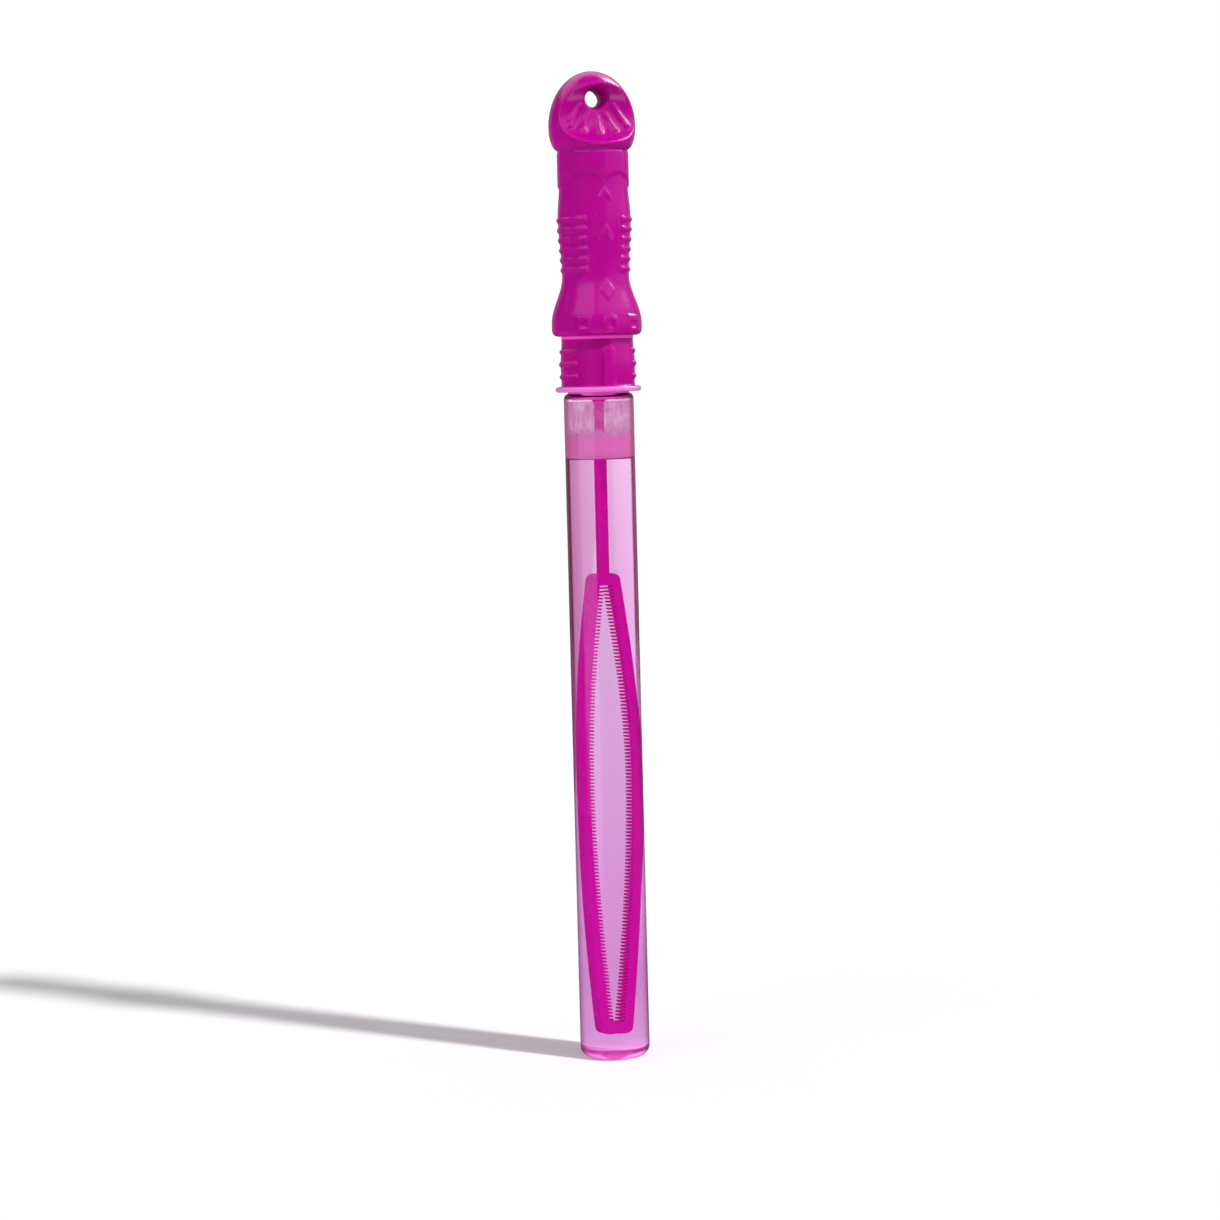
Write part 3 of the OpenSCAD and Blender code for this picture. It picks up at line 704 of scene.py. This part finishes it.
def ray(side, start, end):
    """One ray of the fan: a disc extruded along the hollow's face, tapered and round at both ends"""
    bpy.ops.object.select_all(action="DESELECT")
    turn = math.atan2(end[0] - start[0], end[1] - start[1])
    bpy.ops.mesh.primitive_circle_add(vertices=20, radius=start_r, fill_type="NGON", rotation=(0, turn, 0))
    piece = bpy.context.object
    bpy.ops.object.transform_apply()
    bpy.ops.object.mode_set(mode="EDIT")
    bpy.ops.mesh.select_all(action="SELECT")
    place, wide = (0, 0, 0), start_r
    bpy.ops.transform.resize(value=(1, ray_raise / (ray_end_w / 2), 1))
    for i in range(ray_steps + 1):
        t = (1 - math.cos(math.pi * i / ray_steps)) / 2
        x, z = (a + (b - a) * t for a, b in zip(start, end))
        half_w = (ray_start_w + (ray_end_w - ray_start_w) * t) / 2
        from_tip = min(1, min(t, 1 - t) / ray_tip_share)
        round_end = math.sqrt(max(least_tip_share, 1 - (1 - from_tip) ** 2))
        next_place, next_wide = (x, side * hollow_y(z), z), half_w * round_end
        step = [b - a for a, b in zip(place, next_place)]
        if i:
            bpy.ops.mesh.extrude_region_move(TRANSFORM_OT_translate={"value": step})
        else:
            bpy.ops.transform.translate(value=step)
        bpy.ops.transform.resize(value=(next_wide / wide,) * 3, center_override=next_place)
        place, wide = next_place, next_wide
    bpy.ops.mesh.select_all(action="SELECT")
    bpy.ops.mesh.normals_make_consistent(inside=False)
    bpy.ops.object.mode_set(mode="OBJECT")
    return piece


handle = turned("handle_grip", handle_side(0), handle_sides)
hole = turned("hole", [
    (0, -2 * dome_r), (mouth_r, -2 * dome_r), (mouth_r, -web_t / 2), (hole_r, -throat_l / 2),
    (hole_r, throat_l / 2), (mouth_r, web_t / 2), (mouth_r, 2 * dome_r), (0, 2 * dome_r)], hole_sides)
hole.rotation_euler = (math.pi / 2, 0, 0)
hole.location = (0, 0, hole_z)
bpy.ops.object.transform_apply()
combine(handle, hole, "DIFFERENCE")
rays = []
for side in (-1, 1):
    bpy.ops.object.select_all(action="DESELECT")
    bpy.ops.mesh.primitive_cylinder_add(vertices=handle_sides, radius=hollow_r, depth=4 * dome_r,
                                        location=(0, side * (web_t / 2 + hollow_r), hollow_z),
                                        rotation=(0, math.pi / 2, 0))
    bpy.ops.object.transform_apply()
    combine(handle, bpy.context.object, "DIFFERENCE")
    for at_start, at_end in ray_turns:
        a, b = math.radians(at_start), math.radians(at_end)
        rays.append(ray(side, (ray_start_r * math.sin(a), hole_z - ray_start_r * math.cos(a)),
                        (fan_w * math.sin(b), hole_z - fan_h * math.cos(b))))
melt(handle, rays, ray_voxel, 6)


def chevron(z, half_w, fall, stroke):
    """Corners of a chevron that points up, with its apex at height z"""
    return [(0, z), (half_w, z - fall), (half_w, z - fall - stroke), (0, z - stroke * 1.4),
            (-half_w, z - fall - stroke), (-half_w, z - fall)]


groove_half = 1 * mm
cuff_top = groove_z - groove_half
cuff_mark, grip_mark = (2.2 * mm, 3.4 * mm, 1.5 * mm), (2.9 * mm, 4.9 * mm, 0.8 * mm)
diamond_share, mark_share = 0.31, 0.18
arch_x, arch_h = throat_r * 0.46, 4.1 * mm
arch_w = arch_x * 1.05
meet = math.degrees(math.acos(arch_x / arch_w))
cuff_half = [*arc((arch_x, cuff_z), arch_w, arch_h, 180 - meet, 0, 12), (arch_x + arch_w, cuff_z - relief),
             (dome_r, cuff_z - relief), (dome_r, cuff_top)]
diamond_w, diamond_h = 2.6 * mm, 3.9 * mm
diamond_z = waist_z - (waist_z - skirt_z) * diamond_share
figures = [
    cuff_half + [(-x, z) for x, z in cuff_half[:0:-1]],
    chevron(cuff_z - relief * 2.5, *cuff_mark),
    chevron(swell_z - (swell_z - waist_z) * mark_share, *grip_mark),
    [(0, diamond_z + diamond_h), (diamond_w, diamond_z), (0, diamond_z - diamond_h), (-diamond_w, diamond_z)],
]
tab_w, tab_lift, tab_h, side_turn = 5.4 * mm, 0.7 * mm, 6.6 * mm, 35
tab_z = rim_z + tab_lift


def place_round(piece, turn):
    """Turns a piece about the object's axis"""
    piece.rotation_euler.z = math.radians(turn)
    bpy.ops.object.select_all(action="DESELECT")
    piece.select_set(True)
    bpy.context.view_layer.objects.active = piece
    bpy.ops.object.transform_apply()
    return piece


ornaments = [plate(points, -2 * dome_r, 2 * dome_r) for points in figures]
w, h = tab_w * 0.9, tab_h * 1.05
for back in (0, 180):
    arched = plate([(-w / 2, tab_z), (w / 2, tab_z),
                    *arc((0, tab_z + h - w / 2), w / 2, w / 2, 0, 180, 12)], -2 * skirt_r, 0)
    hollow = plate([(-w / 4, tab_z + h * 0.25), (w / 4, tab_z + h * 0.25),
                    *arc((0, tab_z + h * 0.6), w / 4, w / 4, 0, 180, 8)], -3 * skirt_r, overrun)
    combine(arched, hollow, "DIFFERENCE")
    ornaments.append(place_round(arched, back))
    for turn in (-side_turn, side_turn):
        tab = plate([(-tab_w / 2, tab_z), (tab_w / 2, tab_z), (tab_w / 2, tab_z + tab_h),
                     (-tab_w / 2, tab_z + tab_h)], -2 * skirt_r, 0)
        hollow = plate([(-tab_w * 0.3, tab_z + tab_h * 0.3), (tab_w * 0.3, tab_z + tab_h * 0.3),
                        (tab_w * 0.3, tab_z + tab_h * 0.7), (-tab_w * 0.3, tab_z + tab_h * 0.7)],
                       -3 * skirt_r, overrun)
        combine(tab, hollow, "DIFFERENCE")
        ornaments.append(place_round(tab, back + turn))
proud = []
for figure in ornaments:
    limit = turned("limit", handle_side(relief), handle_sides)
    combine(figure, limit, "INTERSECT")
    proud.append(figure)
for middle in (0, 180):
    for i in range(1, grip_ribs + 1):
        t = (i - grip_rib_start) / grip_ribs
        r = waist_r + (swell_r - waist_r) * (1 - math.cos(math.pi * t)) / 2
        proud += rib(r - rib_sink, waist_z + (swell_z - waist_z) * t, grip_rib_r, grip_rib_half, middle)
melt(handle, proud, handle_voxel, 5)
tree, shader, add = material_of(handle, "handle_magenta", IOR=1.49, Subsurface_Weight=0.6,
                                Subsurface_Scale=scatter)
moulded(tree, shader, add, paint(196, 1, 158), paint(186, 0, 144), flow=30, gloss=0.16, dull=0.28,
        peel=400, uneven=0.03)
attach(handle, "wand_unit")
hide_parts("handle")

# Studio.
# A roll of white paper that runs towards the back; where the pieces reflect it, it is painted dark
# grey, a painted shade in their gloss. One lamp stands like the sun at the right, a broad, weak one
# fills in from the left, and in the gloss only large soft boxes show. Lamps are given by their turn
# from the right, rise, energy and spread.
camera_turn = -18.6
lamp_far = 2
lamps = ((34.4, 48, 2.5, 4), (140.27, 7, 1, 60))
right = Matrix.Rotation(math.radians(camera_turn), 3, "Z").col[0]
towards = Matrix.Rotation(math.radians(camera_turn), 3, "Z").col[1] * -1
paper_w, paper_near, paper_far = 1.65, 0.28, 8
for lamp_turn, lamp_rise, energy, spread in lamps:
    flat = right * math.cos(math.radians(lamp_turn)) + towards * math.sin(math.radians(lamp_turn))
    lamp_dir = flat * math.cos(math.radians(lamp_rise))
    lamp_dir.z = math.sin(math.radians(lamp_rise))
    bpy.ops.object.light_add(type="SUN", location=lamp_dir * lamp_far)
    lamp = bpy.context.object
    lamp.rotation_euler = lamp_dir.to_track_quat("Z", "Y").to_euler()
    lamp.data.energy = energy
    lamp.data.angle = math.radians(spread)
    lamp.visible_glossy = False

camera_far, camera_z = 1.2, 0.26
pitch, roll, yaw_trim = 4.15, 1.45, -0.112
bpy.ops.object.camera_add(location=(towards.x * camera_far, towards.y * camera_far, camera_z))
camera = bpy.context.object
camera.data.lens = 95
camera.data.sensor_width = 36
camera.data.shift_y = -0.01
camera.rotation_euler = (Matrix.Rotation(math.radians(camera_turn + yaw_trim), 3, "Z")
                         @ Matrix.Rotation(math.radians(90 - pitch), 3, "X")
                         @ Matrix.Rotation(math.radians(-roll), 3, "Z")).to_euler()
bpy.context.scene.camera = camera
bpy.context.scene.view_settings.view_transform = "Standard"

bpy.ops.object.select_all(action="DESELECT")
bpy.ops.mesh.primitive_plane_add(size=1, rotation=(0, 0, math.radians(camera_turn)),
                                 location=towards * (paper_near - paper_far) / 2)
floor = bpy.context.object
floor.name = "floor"
bpy.ops.transform.resize(value=(paper_w, paper_near + paper_far, 1), orient_type="LOCAL")
bpy.ops.object.transform_apply()
tree, shader, add = material_of(floor, "white_paper", Roughness=1, Specular_IOR_Level=0)
grain = add("TexNoise", {"Vector": add("TexCoord", {}).outputs["Object"], "Scale": 400}).outputs["Fac"]
white = blend(add, grain, paint(252, 252, 253), paint(250, 250, 252))
# In reflections on the pieces the paper is painted dark grey: painted shade in their gloss.
mirrored = add("Math", {0: add("LightPath", {}).outputs["Glossy Depth"], 1: 0.5}, operation="GREATER_THAN")
paper = blend(add, mirrored.outputs["Value"], white, paint(70, 66, 70))
tree.links.new(paper, shader.inputs["Base Color"])

# A soft box as reflections show it: bright between two turns and two rises, with a soft edge.
edge_spread = 3
box = bpy.data.node_groups.new("soft_box", "ShaderNodeTree")
for socket in ("Turn", "Rise", "From Turn", "To Turn", "From Rise", "To Rise", "Strength"):
    box.interface.new_socket(socket, in_out="INPUT", socket_type=FLOAT)
box.interface.new_socket("Light", in_out="OUTPUT", socket_type=FLOAT)
entry, leave = box.nodes.new("NodeGroupInput"), box.nodes.new("NodeGroupOutput")
add = node_adder(box)
shine = entry.outputs["Strength"]
for angle in ("Turn", "Rise"):
    for limit, sign in (("From " + angle, 1), ("To " + angle, -1)):
        past_limit = add("Math", {0: entry.outputs[angle], 1: entry.outputs[limit]}, operation="SUBTRACT")
        inside = add("MapRange", {"Value": past_limit.outputs["Value"], "From Min": -edge_spread * sign,
                                  "From Max": edge_spread * sign}, interpolation_type="SMOOTHSTEP")
        shine = add("Math", {0: shine, 1: inside.outputs["Result"]}, operation="MULTIPLY").outputs["Value"]
box.links.new(shine, leave.inputs["Light"])

world = bpy.data.worlds.new("studio")
bpy.context.scene.world = world
world.use_nodes = True
add = node_adder(world.node_tree)
away = add("Mapping", {"Vector": add("TexCoord", {}).outputs["Generated"],
                       "Rotation": (0, 0, math.radians(-camera_turn))}).outputs["Vector"]
parts = add("SeparateXYZ", {"Vector": away}).outputs
to_front = add("Math", {0: parts["Y"], 1: -1}, operation="MULTIPLY").outputs["Value"]
turn = add("Math", {0: parts["X"], 1: to_front}, operation="ARCTAN2").outputs["Value"]
turn = add("Math", {0: turn}, operation="DEGREES").outputs["Value"]
rise = add("Math", {0: parts["Z"]}, operation="ARCSINE").outputs["Value"]
rise = add("Math", {0: rise}, operation="DEGREES").outputs["Value"]
either_side = add("Math", {0: turn}, operation="ABSOLUTE").outputs["Value"]


def soft_box(turns, rises, strength, around=turn):
    """How bright a soft box is in the direction that a ray looks"""
    node = add("Group", {"Turn": around, "Rise": rise}, node_tree=box)
    for socket, value in zip(("From Turn", "To Turn", "From Rise", "To Rise", "Strength"),
                             (*turns, *rises, strength)):
        node.inputs[socket].default_value = value
    return node.outputs["Light"]


def total(*lights):
    """The sum of several lights"""
    result = lights[0]
    for light in lights[1:]:
        result = add("Math", {0: result, 1: light}).outputs["Value"]
    return result


backdrop = soft_box((138, 200), (-40, 60), 0.2, either_side)
right_wall = soft_box((42, 126), (1, 60), 0.32)
right_box = soft_box((6, 126), (24, 62), 0.5)
left_box = soft_box((-66, -5), (22, 62), 0.85)
back_boxes = soft_box((100, 200), (30, 60), 0.8, either_side)
back_spot = soft_box((102, 150), (29, 57), 7)
low_board = soft_box((4, 75), (-60, -26), 1.4)
room = 0.03
boxes = total(backdrop, right_wall, right_box, left_box, back_boxes, back_spot, low_board, room)

# What shows through clear pieces is pale and a little deeper to the right. Light that was thrown
# back inside them on its way comes out deep magenta, with the boxes in it.
pale_back, rosy_right, deep_magenta = (1.15, 1.15, 1.15, 1), (0.66, 0.34, 0.52, 1), (0.8, 0.08, 0.3, 1)
to_right = add("MapRange", {"Value": parts["X"], "From Min": -0.5, "From Max": 0.75}).outputs["Result"]
light = add("LightPath", {}).outputs
thrown_back = add("Math", {0: light["Glossy Depth"], 1: 0.5}, operation="GREATER_THAN").outputs["Value"]
through = blend(add, thrown_back, blend(add, to_right, pale_back, rosy_right),
                blend(add, 0.5, boxes, deep_magenta))
plain = 0.395
shown = (plain, plain, plain, 1)
for ray_kind, colour in (("Is Glossy Ray", boxes), ("Is Transmission Ray", through),
                         ("Is Camera Ray", (1, 1, 1, 1))):
    shown = blend(add, light[ray_kind], shown, colour)
sky = world.node_tree.nodes["Background"]
world.node_tree.links.new(shown, sky.inputs["Color"])
